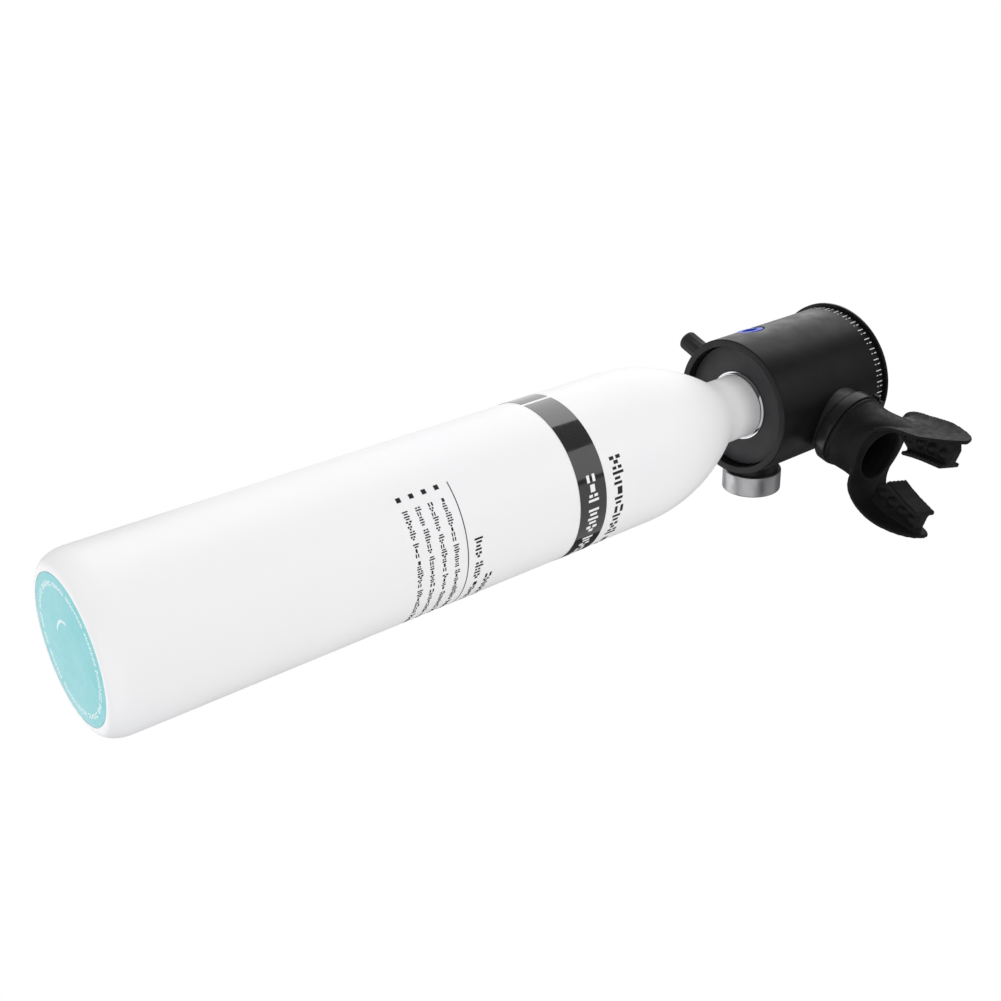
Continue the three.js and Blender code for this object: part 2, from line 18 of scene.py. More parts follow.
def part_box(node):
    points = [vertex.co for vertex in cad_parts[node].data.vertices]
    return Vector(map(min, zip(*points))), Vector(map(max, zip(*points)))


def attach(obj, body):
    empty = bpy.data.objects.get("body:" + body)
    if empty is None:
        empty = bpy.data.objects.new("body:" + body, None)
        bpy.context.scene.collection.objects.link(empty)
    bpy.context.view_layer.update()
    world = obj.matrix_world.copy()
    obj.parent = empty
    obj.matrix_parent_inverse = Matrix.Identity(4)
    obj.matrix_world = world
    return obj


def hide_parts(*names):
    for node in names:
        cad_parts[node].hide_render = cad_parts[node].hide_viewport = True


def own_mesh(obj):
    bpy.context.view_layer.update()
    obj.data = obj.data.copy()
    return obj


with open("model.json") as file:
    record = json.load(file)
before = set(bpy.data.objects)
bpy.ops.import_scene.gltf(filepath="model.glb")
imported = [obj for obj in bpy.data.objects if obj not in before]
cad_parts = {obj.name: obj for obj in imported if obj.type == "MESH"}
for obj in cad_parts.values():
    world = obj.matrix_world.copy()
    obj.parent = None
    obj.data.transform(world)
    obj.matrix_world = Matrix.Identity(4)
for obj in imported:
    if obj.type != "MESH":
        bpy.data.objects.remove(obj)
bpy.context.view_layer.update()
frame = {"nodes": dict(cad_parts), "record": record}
nodes = frame["nodes"]

MM = 0.001
ROUND = 160                      # segments on large round pieces
FITTING = 96                     # segments on side fittings

# ------------------------------------------------------------------ places from the frame


def span(node, axis):
    """Lowest and highest coordinate of a CAD node along an axis, in millimetres."""
    low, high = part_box(node)
    return low[axis] / MM, high[axis] / MM


BOTTLE_R = span("cylinder_bottle", 1)[1]
NECK_TOP = span("cylinder_bottle", 2)[1]
LABEL_T = span("base_label", 2)[1]
LABEL_R = span("base_label", 1)[1]
BAND_LOW, BAND_HIGH = span("wrap_band", 2)
BARREL_R = span("barrel_housing", 0)[1]
BARREL_LOW, BARREL_HIGH = span("barrel_housing", 2)
CAP_R = span("top_cap", 0)[1]
CAP_TOP = span("top_cap", 2)[1]
RECESS_LOW, RECESS_HIGH = span("lower_end_cap", 2)
RECESS_R = span("lower_end_cap", 0)[1]

BARREL_BORE_R = RECESS_R + 0.3
NECK_R = 12.9
BORE_R = 8.6                     # bore through the bottle's neck
WALL = 4.2                       # thickness of the bottle's straight wall
SHOULDER_START = 218             # height where the straight wall ends
SHOULDER_SPAN = 51               # rise over which the dome would reach the neck's radius
FILLET_START = 265               # height where the dome starts to turn into the neck
BASE_FLAT_R = 25.2               # where the base's rounded corner starts
BASE_CORNER_H = 8.5              # and how high it reaches
FILM_R = BOTTLE_R + 0.14         # outside of the film round the body

# Each port is an azimuth and a height.
GAUGE = (-15.5, 296)
FILL = (95, 296.4)
BURST = (148.5, 299)
EXHAUST = (45, 318)
MOUTH = (-90, 316)
MOUTH_TURN = -8                  # the mouthpiece is turned this far about its port

# The camera stands beside the tank and below its base, as in the photographed view.
CAMERA_AT = Vector((-0.29459, -0.27956, -0.10447))
CAMERA_RIGHT = Vector((-0.136106, -0.603755, 0.785465))
CAMERA_UP = Vector((-0.779319, 0.554761, 0.291381))
CAMERA_LENS = 48.55
FLOOR_AT = -0.13
LIGHTS_AIM = Vector((0, 0, 0.24))

# ------------------------------------------------------------------ mesh helpers


def make_object(name, verts, faces, material, body="tank", slot=None, sharp=32):
    """A piece from millimetre vertices, riding on a body."""
    mesh = bpy.data.meshes.new(name)
    mesh.from_pydata([Vector(v) * MM for v in verts], [], faces)
    mesh.validate()
    obj = bpy.data.objects.new(name, mesh)
    bpy.context.scene.collection.objects.link(obj)
    face_out(obj)
    dress(obj, material, body, slot, sharp)
    return obj


def dress(obj, material, body="tank", slot=None, sharp=32):
    """Gives a piece its material, shading and body; its finish slot is not used."""
    obj.data.materials.clear()
    obj.data.materials.append(material)
    soften(obj, sharp)
    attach(obj, body)


def face_out(obj):
    """Turns every face outward."""
    bm = bmesh.new()
    bm.from_mesh(obj.data)
    bmesh.ops.recalc_face_normals(bm, faces=bm.faces)
    bm.to_mesh(obj.data)
    bm.free()


def soften(obj, sharp):
    """Smooth shading, with edges sharper than the angle kept crisp."""
    obj.data.polygons.foreach_set("use_smooth", [True] * len(obj.data.polygons))
    obj.data.set_sharp_from_angle(angle=math.radians(sharp))


def share(value):
    """A value kept between 0 and 1."""
    return min(max(value, 0), 1)


def degrees(length, radius):
    """The angle that a length takes up on a circle."""
    return math.degrees(length / radius)


def rounded(points, steps=5):
    """A profile with corners rounded: a point with a third value is cut back that far."""
    out = []
    count = len(points)
    for i, point in enumerate(points):
        if len(point) < 3:
            out.append(Vector(point))
            continue
        here = Vector(point[:2])
        before = Vector(points[i - 1][:2])
        after = Vector(points[(i + 1) % count][:2])
        a = here + (before - here).normalized() * point[2]
        b = here + (after - here).normalized() * point[2]
        for k in range(steps + 1):
            t = k / steps
            out.append(a * (1 - t) ** 2 + here * 2 * t * (1 - t) + b * t ** 2)
    return [(p[0], p[1]) for p in out]


def lathe_parts(profile, segments):
    """Vertices and faces of a profile turned about Z; a point on the axis becomes one pole."""
    verts, rings, faces = [], [], []
    for r, z in profile:
        if r < 1e-6:
            rings.append([len(verts)])
            verts.append((0, 0, z))
            continue
        start = len(verts)
        rings.append(list(range(start, start + segments)))
        for i in range(segments):
            a = 2 * math.pi * i / segments
            verts.append((r * math.cos(a), r * math.sin(a), z))
    both_ends_on_axis = len(rings[0]) == 1 and len(rings[-1]) == 1
    pairs = list(zip(rings, rings[1:]))
    if not both_ends_on_axis:
        pairs.append((rings[-1], rings[0]))
    for a, b in pairs:
        for i in range(segments):
            j = (i + 1) % segments
            if len(a) == 1 and len(b) == 1:
                continue
            if len(a) == 1:
                faces.append((a[0], b[j], b[i]))
            elif len(b) == 1:
                faces.append((a[i], a[j], b[0]))
            else:
                faces.append((a[i], a[j], b[j], b[i]))
    return verts, faces


def lathe(name, profile, material, segments=ROUND, port=None, **style):
    """A turned piece, laid along a port if there is one."""
    verts, faces = lathe_parts(profile, segments)
    if port:
        turn = port_matrix(port)
        verts = [turn @ Vector(v) for v in verts]
    return make_object(name, verts, faces, material, **style)


def port_matrix(port):
    """Takes a fitting turned about Z to its port: Z points out of the barrel."""
    azimuth, height = port
    out = Matrix.Rotation(math.radians(azimuth), 4, "Z") @ Matrix.Rotation(math.pi / 2, 4, "Y")
    return Matrix.Translation((0, 0, height)) @ out


def mouth_matrix():
    """Local X is the width of the mouthpiece, Y its height, Z outward."""
    turn = Matrix.Rotation(math.radians(MOUTH_TURN), 4, "Z")
    return Matrix.Translation((0, 0, MOUTH[1])) @ Matrix.Rotation(math.pi / 2, 4, "X") @ turn


def in_metres(turn):
    """The same placing, for a mesh that is in metres already."""
    placed = turn.copy()
    placed.translation *= MM
    return placed


def joined(shapes):
    """The vertices and faces of several shapes as one."""
    verts, faces = [], []
    for more_verts, more_faces in shapes:
        faces += [tuple(i + len(verts) for i in face) for face in more_faces]
        verts += more_verts
    return verts, faces


def scratch(name, verts, faces, turn=None):
    """A helper solid that is used up by a boolean or a join."""
    mesh = bpy.data.meshes.new(name)
    place = turn or Matrix.Identity(4)
    mesh.from_pydata([(place @ Vector(v)) * MM for v in verts], [], faces)
    obj = bpy.data.objects.new(name, mesh)
    bpy.context.scene.collection.objects.link(obj)
    face_out(obj)
    return obj


def plug(radius, low, high, turn, segments=48, stretch=(1, 1)):
    """A cylinder, or an oval one, to cut with."""
    verts, faces = lathe_parts([(0, low), (radius, low), (radius, high), (0, high)], segments)
    verts = [(x * stretch[0], y * stretch[1], z) for x, y, z in verts]
    return scratch("cutter", verts, faces, turn)


def box_solid(low, high, turn=None):
    """A block from its lowest corner to its highest."""
    verts = [(x, y, z) for x in (low[0], high[0]) for y in (low[1], high[1])
             for z in (low[2], high[2])]
    faces = [(0, 1, 3, 2), (4, 6, 7, 5), (0, 4, 5, 1), (2, 3, 7, 6), (0, 2, 6, 4), (1, 5, 7, 3)]
    return scratch("block", verts, faces, turn)


def bake_modifiers(obj):
    """Replaces the mesh by what its modifiers make of it."""
    graph = bpy.context.evaluated_depsgraph_get()
    mesh = bpy.data.meshes.new_from_object(obj.evaluated_get(graph))
    obj.modifiers.clear()
    obj.data = mesh


def cut_away(obj, cutters, sharp=32):
    """Takes the cutters' shapes out of a piece, and uses them up."""
    for cutter in cutters:
        cut = obj.modifiers.new("cut", "BOOLEAN")
        cut.operation = "DIFFERENCE"
        cut.solver = "EXACT"
        cut.object = cutter
    bake_modifiers(obj)
    for cutter in cutters:
        bpy.data.objects.remove(cutter)
    soften(obj, sharp)


def merge_meshes(target, others):
    """Adds the faces of other objects to the target, without welding them."""
    bm = bmesh.new()
    bm.from_mesh(target.data)
    for other in others:
        bm.from_mesh(other.data)
        bpy.data.objects.remove(other)
    bm.to_mesh(target.data)
    bm.free()


# ------------------------------------------------------------------ material helpers


class Look:
    """A principled material with a few procedural layers."""

    def __init__(self, name, color, roughness, **sockets):
        self.material = bpy.data.materials.new(name)
        self.material.use_nodes = True
        self.tree = self.material.node_tree
        self.shader = self.tree.nodes["Principled BSDF"]
        self.shader.inputs["Base Color"].default_value = (*color, 1)
        self.shader.inputs["Roughness"].default_value = roughness
        for socket, value in sockets.items():
            self.shader.inputs[socket.replace("_", " ")].default_value = value
        self.place = self.node("ShaderNodeTexCoord").outputs["Object"]
        self.normal = None

    def node(self, kind, **values):
        node = self.tree.nodes.new(kind)
        for key, value in values.items():
            setattr(node, key, value)
        return node

    def link(self, a, b):
        self.tree.links.new(a, b)

    def noise(self, size_mm, detail=4, stretch=(1, 1, 1)):
        """Noise whose blotches are about size_mm across."""
        mapping = self.node("ShaderNodeMapping")
        mapping.inputs["Scale"].default_value = [s / (size_mm * MM) for s in stretch]
        noise = self.node("ShaderNodeTexNoise")
        noise.inputs["Scale"].default_value = 1
        noise.inputs["Detail"].default_value = detail
        self.link(self.place, mapping.inputs["Vector"])
        self.link(mapping.outputs["Vector"], noise.inputs["Vector"])
        return noise.outputs["Fac"]

    def rings(self, direction, pitch_mm):
        """Noise that only changes along a direction: turning marks on a lathed face."""
        along = self.node("ShaderNodeVectorMath", operation="DOT_PRODUCT")
        along.inputs[1].default_value = [d / (pitch_mm * MM) for d in direction]
        noise = self.node("ShaderNodeTexNoise", noise_dimensions="1D")
        noise.inputs["Scale"].default_value = 1
        noise.inputs["Detail"].default_value = 3
        self.link(self.place, along.inputs[0])
        self.link(along.outputs["Value"], noise.inputs["W"])
        return noise.outputs["Fac"]

    def ramp(self, source, low, high, start=0.35, end=0.65):
        """Spreads a noise's middle range over the values from low to high."""
        spread = self.node("ShaderNodeMapRange")
        for socket, value in (("From Min", start), ("From Max", end), ("To Min", low),
                              ("To Max", high)):
            spread.inputs[socket].default_value = value
        self.link(source, spread.inputs["Value"])
        return spread.outputs["Result"]

    def vary_roughness(self, source, low, high):
        self.link(self.ramp(source, low, high), self.shader.inputs["Roughness"])

    def vary_color(self, source, color_a, color_b, start=0.4, end=0.7):
        mix = self.node("ShaderNodeMix", data_type="RGBA")
        mix.inputs[6].default_value = (*color_a, 1)
        mix.inputs[7].default_value = (*color_b, 1)
        self.link(self.ramp(source, 0, 1, start, end), mix.inputs["Factor"])
        self.link(mix.outputs[2], self.shader.inputs["Base Color"])

    def bump(self, source, depth_mm, strength):
        bump = self.node("ShaderNodeBump")
        bump.inputs["Strength"].default_value = strength
        bump.inputs["Distance"].default_value = depth_mm * MM
        self.link(source, bump.inputs["Height"])
        if self.normal:
            self.link(self.normal, bump.inputs["Normal"])
        self.normal = bump.outputs["Normal"]
        self.link(self.normal, self.shader.inputs["Normal"])


def white_paint():
    look = Look("white_powder_coat", (0.87, 0.865, 0.87), 0.42, Coat_Weight=0.1,
                Coat_Roughness=0.25)
    look.vary_color(look.noise(60, 2), (0.882, 0.868, 0.87), (0.858, 0.86, 0.876), 0.3, 0.7)
    look.vary_roughness(look.noise(22, 3), 0.38, 0.46)
    look.bump(look.noise(1.1, 2), 0.012, 0.25)
    return look.material


def teal_vinyl():
    look = Look("teal_printed_vinyl", (0.135, 0.545, 0.585), 0.36, Coat_Weight=0.12,
                Coat_Roughness=0.2)
    look.vary_color(look.noise(16, 2), (0.118, 0.535, 0.575), (0.17, 0.565, 0.615))
    look.vary_roughness(look.noise(3, 3), 0.32, 0.4)
    look.bump(look.noise(1.2, 2), 0.006, 0.2)
    return look.material


def ink(name, color, roughness=0.4):
    look = Look(name, color, roughness)
    look.vary_roughness(look.noise(0.8, 3), roughness - 0.06, roughness + 0.08)
    look.bump(look.noise(0.4, 2), 0.004, 0.4)
    return look.material


def glossy_film():
    look = Look("glossy_black_film", (0.005, 0.005, 0.006), 0.1, IOR=1.95, Coat_Weight=1.0,
                Coat_Roughness=0.04, Coat_IOR=1.6)
    look.vary_roughness(look.noise(4, 4), 0.08, 0.14)
    look.bump(look.noise(2.4, 3, (0.3, 0.3, 2.6)), 0.02, 0.5)
    return look.material


def anodised(name, color, roughness, grain=0.25):
    look = Look(name, color, roughness, Specular_IOR_Level=0.32)
    look.vary_roughness(look.noise(7, 5), roughness - 0.05, roughness + 0.07)
    look.bump(look.noise(grain, 2), 0.01, 0.5)
    return look.material


def soft_black(name, color, roughness, dust, shine):
    """Rubber or silicone, with a little pale dust in patches."""
    look = Look(name, color, roughness, Specular_IOR_Level=shine, Sheen_Weight=0.012,
                Sheen_Roughness=0.4)
    lighter = tuple(c + dust for c in color)
    look.vary_color(look.noise(5, 6), color, lighter, 0.45, 0.8)
    look.vary_roughness(look.noise(2.5, 5), roughness - 0.08, roughness + 0.1)
    look.bump(look.noise(0.35, 3), 0.012, 0.6)
    return look.material


def moulded(name, color, roughness):
    look = Look(name, color, roughness)
    look.vary_roughness(look.noise(3, 5), roughness - 0.06, roughness + 0.1)
    look.bump(look.noise(0.5, 3), 0.01, 0.5)
    return look.material


def glossy_nylon():
    look = Look("glossy_nylon", (0.006, 0.006, 0.006), 0.26)
    look.vary_roughness(look.noise(6, 1), 0.23, 0.3)
    look.bump(look.noise(1.5, 2), 0.004, 0.15)
    return look.material


def metal(name, color, roughness, direction=(0, 0, 1), pitch=0.35, depth=0.006):
    """Bare metal, with turning marks across its axis."""
    look = Look(name, color, roughness, Metallic=1.0)
    look.vary_roughness(look.noise(4, 3), roughness * 0.85, roughness * 1.2)
    look.bump(look.rings(direction, pitch), depth, 0.6)
    return look.material


def clear_lens():
    look = Look("clear_lens", (0.97, 0.985, 0.99), 0.03, Transmission_Weight=1.0, IOR=1.5)
    look.vary_roughness(look.noise(6, 4), 0.02, 0.05)
    look.bump(look.noise(8, 2), 0.01, 0.2)
    return look.material


def port_direction(port):
    a = math.radians(port[0])
    return (math.cos(a), math.sin(a), 0)


MAT = {
    "white_paint": white_paint(),
    "teal_vinyl": teal_vinyl(),
    "black_vinyl": glossy_film(),
    "black_anodised": anodised("black_anodising", (0.0032, 0.0031, 0.0033), 0.36),
    "end_cap": anodised("dark_bead_blasted_cap", (0.03, 0.03, 0.033), 0.5, 0.4),
    "black_plastic": moulded("black_moulding", (0.012, 0.012, 0.013), 0.4),
    "black_rubber": soft_black("black_rubber", (0.018, 0.018, 0.018), 0.46, 0.008, 0.4),
    "silicone": soft_black("black_silicone", (0.005, 0.005, 0.0055), 0.46, 0.003, 0.2),
    "cable_tie": glossy_nylon(),
    "chrome": metal("polished_chrome", (0.78, 0.78, 0.79), 0.07, pitch=0.5, depth=0.002),
    "satin_aluminium": metal("turned_aluminium", (0.6, 0.6, 0.62), 0.4,
                             port_direction(GAUGE), 0.35, 0.002),
    "brass": metal("machined_brass", (0.62, 0.43, 0.17), 0.24),
    "steel": metal("stainless_steel", (0.56, 0.565, 0.575), 0.2),
    "blue_anodised": moulded("blue_anodising", (0.02, 0.055, 0.52), 0.3),
    "seat_plastic": moulded("nylon_seat", (0.7, 0.68, 0.6), 0.42),
    "dial_face": ink("dial_white", (0.86, 0.86, 0.84), 0.5),
    "needle": ink("red_lacquer", (0.5, 0.015, 0.012), 0.3),
    "lens": clear_lens(),
    "black_ink": ink("black_ink", (0.012, 0.012, 0.014)),
    "white_ink": ink("white_ink", (0.86, 0.86, 0.86)),
    "pale_ink": ink("pale_ink", (0.78, 0.9, 0.92)),
    "grey_ink": ink("scale_ink", (0.62, 0.62, 0.62)),
}

# ------------------------------------------------------------------ cylinder


def shoulder_radius(z):
    """The dome's radius at a height."""
    return NECK_R + (BOTTLE_R - NECK_R) * (1 - ((z - SHOULDER_START) / SHOULDER_SPAN) ** 2)


def shoulder_profile():
    """The dome, and the fillet that carries it smoothly into the neck."""
    steps = 30
    rise = FILLET_START - SHOULDER_START
    dome = [(shoulder_radius(SHOULDER_START + rise * i / steps), SHOULDER_START + rise * i / steps)
            for i in range(steps)]
    slope = 2 * (BOTTLE_R - NECK_R) * rise / SHOULDER_SPAN ** 2
    turn = math.atan(slope)
    radius = (shoulder_radius(FILLET_START) - NECK_R) / (1 - math.cos(turn))
    end = FILLET_START + radius * math.sin(turn)
    fillet = []
    for i in range(11):
        a = turn * (1 - i / 10)
        fillet.append((NECK_R + radius * (1 - math.cos(a)), end - radius * math.sin(a)))
    return dome + fillet


def build_bottle():
    """Outside from the label's recess up to the neck, then the inside back down."""
    corner = []
    for i in range(17):
        a = math.pi / 2 * i / 16
        corner.append((BASE_FLAT_R + (BOTTLE_R - BASE_FLAT_R) * math.sin(a),
                       BASE_CORNER_H * (1 - math.cos(a))))
    straight = [(BOTTLE_R, z) for z in (60, 120, 180)]
    inner_r, top = BOTTLE_R - WALL, SHOULDER_START - 2
    dome = [(BORE_R + (inner_r - BORE_R) * math.sin(math.pi / 2 * i / 8),
             top + (SHOULDER_SPAN - 7) * math.cos(math.pi / 2 * i / 8)) for i in range(8)]
    profile = [(0, LABEL_T), (LABEL_R + 0.3, LABEL_T), (LABEL_R + 0.3, 0)]
    profile += corner + straight + shoulder_profile()
    profile += [(NECK_R, NECK_TOP - 0.6), (NECK_R - 0.18, NECK_TOP - 0.18),
                (NECK_R - 0.6, NECK_TOP)]
    profile += [(11, NECK_TOP), (11, NECK_TOP - 2.4), (BORE_R, NECK_TOP - 2.4)]
    profile += dome + [(inner_r, top), (inner_r, 13), (20.8, 7), (0, 7)]
    bottle = lathe("bottle_shell", profile, MAT["white_paint"], slot="white_paint", sharp=40)
    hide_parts("cylinder_bottle")


def build_base_label():
    label = lathe("base_label_disc", rounded([
        (0, 0.04), (LABEL_R, 0.04, 0.1), (LABEL_R, LABEL_T), (0, LABEL_T)]),
        MAT["teal_vinyl"], slot="teal_vinyl")
    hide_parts("base_label")


build_bottle()
build_base_label()


def arc_block(r0, r1, az0, az1, z0, z1, step=2.5):
    """A thin curved block between two radii, azimuths (degrees) and heights."""
    n = max(1, math.ceil(abs(az1 - az0) / step))
    verts, faces = [], []
    for i in range(n + 1):
        a = math.radians(az0 + (az1 - az0) * i / n)
        for r, z in ((r0, z0), (r1, z0), (r1, z1), (r0, z1)):
            verts.append((r * math.cos(a), r * math.sin(a), z))
    for i in range(n):
        b = 4 * i
        for k in range(4):
            m = (k + 1) % 4
            faces.append((b + k, b + m, b + 4 + m, b + 4 + k))
    faces += [(0, 3, 2, 1), (4 * n, 4 * n + 1, 4 * n + 2, 4 * n + 3)]
    return verts, faces


def printed(name, blocks, material, slot, radius, thickness=0.05):
    """Ink marks on a round wall, each (az0, az1, z0, z1)."""
    verts, faces = joined(arc_block(radius - 0.03, radius + thickness, *block)
                          for block in blocks)
    make_object(name, verts, faces, material, slot=slot)


# Abstract marks with the weight of type: bars and blocks, as shares of the line's height.
MARKS = (
    ((0, 0.2, 0, 1), (0.36, 0.56, 0.16, 0.84)),
    ((0, 0.2, 0.16, 0.84), (0.36, 0.56, 0, 1)),
    ((0, 0.58, 0.08, 0.34), (0, 0.58, 0.62, 0.88)),
    ((0, 0.22, 0.08, 0.42), (0, 0.22, 0.58, 0.92), (0.38, 0.58, 0, 1)),
    ((0, 0.26, 0, 0.4), (0.34, 0.6, 0.3, 0.7), (0, 0.26, 0.6, 1)),
    ((0, 0.58, 0.28, 0.72),),
)
MARK_W = 0.6                     # width of a mark, as a share of the line's height
MARK_PITCH = 0.76                # from one mark to the next
WORD_GAP = 0.42                  # extra room after a group of marks

# Lines of marks on the bottle: azimuths of their ends, height up the bottle, size of the
# marks, and the fewest and most marks in a group.
PRINT_LINES = (
    (-133.5, -45, 189.6, 5.0, (6, 11)),
    (-114, -45, 127.4, 3.4, (3, 8)),
    (-83, -45, 132.6, 3.4, (3, 7)),
)


def greeked_line(rng, az, end, z, height, radius, words=(3, 9), low=0.74):
    """A line of type stood in for by abstract marks, grouped like words."""
    blocks = []
    while az < end:
        for k in range(rng.randint(*words)):
            tall = height * (1 if k == 0 else rng.choice((low, low, low, 1)))
            if az + degrees(MARK_W * height, radius) > end:
                break
            for u0, u1, v0, v1 in rng.choice(MARKS):
                blocks.append((az + degrees(u0 * height, radius), az + degrees(u1 * height, radius),
                               z + v0 * tall, z + v1 * tall))
            az += degrees(MARK_PITCH * height, radius)
        az += degrees(WORD_GAP * height, radius)
    return blocks


def build_band():
    """Black film round the body, whose ends stop just short of each other at the seam."""
    seam_at, half_gap = 162.5, degrees(0.9, BOTTLE_R)
    verts, faces = arc_block(BOTTLE_R - 0.05, FILM_R, seam_at - 360 + half_gap,
                             seam_at - half_gap, BAND_LOW, BAND_HIGH, 2)
    band = make_object("wrap_band_film", verts, faces, MAT["black_vinyl"], slot="black_vinyl")
    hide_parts("wrap_band")
    rng = random.Random(4)
    blocks = greeked_line(rng, -127, -40, 177.2, 4.7, BOTTLE_R, (2, 7), 1)
    printed("band_marks", blocks, MAT["white_ink"], "black_vinyl", FILM_R, 0.03)


def build_print():
    """Lines of marks, a thin rule, and four small lines that each start with a square."""
    rng = random.Random(11)
    blocks = []
    for az, end, z, height, words in PRINT_LINES:
        blocks += greeked_line(rng, az, end, z, height, BOTTLE_R, words)
    square, square_at = 1.7, -155.0
    for row in range(4):
        z = 118.9 - 4.95 * row
        blocks.append((square_at, square_at + degrees(square, BOTTLE_R), z, z + square))
        blocks += greeked_line(rng, -145.5, -50, z, 2.2, BOTTLE_R)
    blocks.append((-154.5, -50, 124.25, 124.6))
    printed("bottle_print", blocks, MAT["black_ink"], "white_paint", BOTTLE_R)


def build_label_marks():
    """A ring of small marks and a faint curved motif on the round base label."""
    rng = random.Random(7)
    ring_r, size = 19.9, 1.9
    verts, faces = [], []

    def add(points, turn):
        """A thin plate from a plan outline, turned about the middle of the label."""
        n = len(points)
        place = Matrix.Rotation(math.radians(turn), 4, "Z")
        base = len(verts)
        verts.extend(place @ Vector((x, y, z)) for z in (0, 0.05) for x, y in points)
        faces.append(tuple(base + i for i in range(n)))
        faces.append(tuple(base + n + i for i in range(n - 1, -1, -1)))
        faces.extend((base + i, base + n + i, base + n + (i + 1) % n, base + (i + 1) % n)
                     for i in range(n))

    def bar(r0, r1, side0, side1, turn):
        add([(r0, side0), (r1, side0), (r1, side1), (r0, side1)], turn)

    turn = 0.0
    while turn < 354:
        for _ in range(rng.randint(3, 8)):
            for u0, u1, v0, v1 in rng.choice(MARKS):
                bar(ring_r + size * v0, ring_r + size * v1, size * u0, size * u1, turn)
            turn += degrees(1.45, 20.8)
        turn += 3.4
    # the motif: nine short plates along a flat arch
    for k in range(9):
        here, there = 8.5 - 0.35 * (k - 4) ** 2 / 4, 8.5 - 0.35 * (k - 3) ** 2 / 4
        left, right = 1.15 * (k - 4.5), 1.15 * (k - 3.7)
        add([(left, here), (right, there), (right, there + 1.1), (left, here + 0.9)], 46)
    make_object("base_label_marks", verts, faces, MAT["pale_ink"], slot="teal_vinyl")


build_band()
build_print()
build_label_marks()

# ------------------------------------------------------------------ barrel


def build_barrel():
    """The housing with its ports, the disc in its open end, and the ring round the neck."""
    shell = lathe("barrel_shell", rounded([
        (BARREL_BORE_R, BARREL_LOW, 0.35), (BARREL_R, BARREL_LOW, 0.5),
        (BARREL_R, BARREL_LOW + 20), (BARREL_R, BARREL_LOW + 40), (BARREL_R, BARREL_HIGH, 0.2),
        (BARREL_BORE_R, BARREL_HIGH), (BARREL_BORE_R, 331.3), (23.2, 331.3), (23.2, 330),
        (BARREL_BORE_R, 328.5)]), MAT["black_anodised"], slot="black_anodised")
    holes = [(5.3, GAUGE), (4.7, FILL), (6.0, BURST), (8.3, EXHAUST), (14.1, MOUTH)]
    cut_away(shell, [plug(r, 15, 34, port_matrix(port), 96) for r, port in holes])
    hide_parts("barrel_housing")

    disc = lathe("recessed_end_disc", rounded([
        (14.3, RECESS_LOW, 0.25), (RECESS_R, RECESS_LOW, 0.3), (RECESS_R, RECESS_HIGH),
        (14.3, RECESS_HIGH)]), MAT["end_cap"], slot="black_anodised")
    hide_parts("lower_end_cap")
    low, high = span("neck_ring", 2)
    ring = lathe("neck_collar", rounded([
        (12.98, low, 0.2), (13.6, low, 0.2), (13.6, low + 1.2), (14.2, low + 1.2), (14.2, high),
        (12.98, high)]), MAT["chrome"], slot="chrome")
    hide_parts("neck_ring")


def build_scale():
    """Pale graduations round the far end of the barrel, a long line and then a broken one."""
    blocks = []
    count = 38
    half = degrees(0.2, BARREL_R)
    for i in range(count):
        az = 360 * i / count
        blocks.append((az - half, az + half, 338.6, 341.7))
        beside = az + 150 / count
        blocks.append((beside - half, beside + half, 340.3, 341.7))
        blocks.append((beside - half, beside + half, 338.7, 339.4))
    printed("barrel_scale", blocks, MAT["grey_ink"], "black_anodised", BARREL_R, 0.04)


def build_top():
    """The vented cap, and the purge button with its ringed grip."""
    spigot = BARREL_BORE_R - 0.3
    cap = lathe("cap_shell", rounded([
        (13.8, CAP_TOP, 0.3), (22, CAP_TOP), (CAP_R, CAP_TOP, 0.35), (CAP_R, BARREL_HIGH, 0.25),
        (spigot, BARREL_HIGH), (spigot, 335), (22, 335), (22, 341), (13.8, 341)]),
        MAT["black_anodised"], slot="black_anodised")
    vents = [plug(1.8, 340, 346, Matrix.Rotation(math.pi / 4 * i, 4, "Z")
                  @ Matrix.Translation((18.4, 0, 0)), 32) for i in range(8)]
    cut_away(cap, vents)
    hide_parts("top_cap")

    grip = []
    for i in range(5):
        r = 11.4 - 2.1 * i
        grip += [(r, 345.25 + 0.1 * i, 0.25), (r - 0.5, 344.85 + 0.1 * i, 0.2),
                 (r - 1.1, 344.85 + 0.1 * i, 0.2), (r - 1.5, 345.3 + 0.1 * i, 0.25)]
    button = lathe("purge_button_rubber", rounded([
        (0, 333.5), (3.6, 333.5), (3.6, 338.8), (15.5, 338.8), (15.5, 340.7), (13.4, 340.7),
        (13.4, 345.2, 0.9)] + grip + [(0, 345.75)]),
        MAT["black_rubber"], body="purge_button", slot="black_rubber")
    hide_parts("purge_button")


build_barrel()
build_scale()
build_top()

# ------------------------------------------------------------------ side fittings


DIAL_START = 135                 # angle of the scale's first line; the others run down from it
DIAL_SWEEP = 270
DIAL_PRINT = (34.38, 34.46)      # how far out the printing on the dial starts and ends


def build_gauge():
    """The mount, hollowed to sit on the barrel, the gauge's body and its dial."""
    boss = lathe("gauge_mount", rounded([
        (5.3, 26.8), (11, 26.8), (11, 30.7, 0.4), (5.3, 30.7)]), MAT["black_anodised"],
        FITTING, GAUGE, slot="black_anodised")
    saddle = plug(BARREL_R + 0.05, GAUGE[1] - 20, GAUGE[1] + 20, Matrix.Identity(4), 192)
    cut_away(boss, [saddle])
    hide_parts("gauge_boss")
    case = lathe("gauge_body", rounded([
        (0.8, 14), (5, 14, 0.4), (5, 31), (12.2, 31, 0.5), (12.2, 39.9, 0.7), (11.3, 39.9, 0.2),
        (10.9, 39.3, 0.2), (10.9, 34), (0.8, 34)]), MAT["satin_aluminium"], FITTING, GAUGE,
        slot="satin_aluminium")
    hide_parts("gauge_case")
    build_dial_marks()


